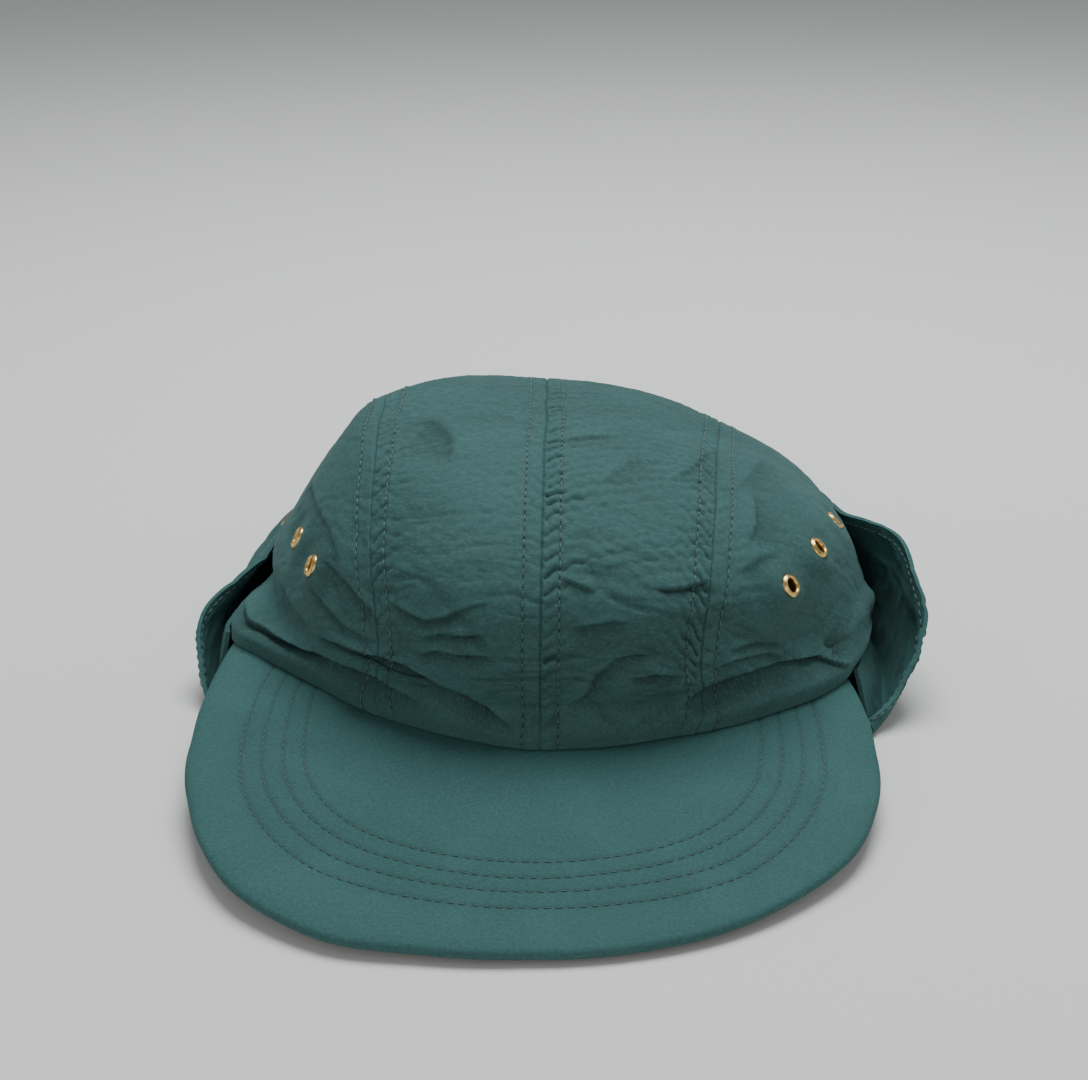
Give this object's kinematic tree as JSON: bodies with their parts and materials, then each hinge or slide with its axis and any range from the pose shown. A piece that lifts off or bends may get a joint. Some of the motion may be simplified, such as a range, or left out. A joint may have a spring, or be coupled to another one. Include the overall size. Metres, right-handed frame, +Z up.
{
  "type": "long-bill cap with turned-up ear and neck flap",
  "caption": "Soft cap with a long flat bill, a four-panel crown, brass vent eyelets and an ear and neck flap turned up round the sides and back.",
  "frame": {"origin": "middle of the cap's box at its base, on the plane the cap stands on", "axes": "+Y towards the back of the cap, the bill pointing to -Y; +X to the right of the picture, the wearer's left; +Z up"},
  "size_m": [0.2212, 0.2628, 0.0832],
  "materials": {
    "crown_cloth": "crinkled nylon cloth, low sheen",
    "bill_cloth": "fine woven cloth over a stiffener",
    "flap_cloth": "crinkled nylon cloth, low sheen",
    "brass": "worn polished brass"
  },
  "bodies": {
    "root": {"crown_centre_left": "crown_cloth", "crown_centre_right": "crown_cloth", "crown_side_left": "crown_cloth", "crown_side_right": "crown_cloth", "bill": "bill_cloth", "flap": "flap_cloth", "eyelet_left_front": "brass", "eyelet_left_middle": "brass", "eyelet_left_back": "brass", "eyelet_right_front": "brass", "eyelet_right_middle": "brass", "eyelet_right_back": "brass"}
  },
  "joints": []
}
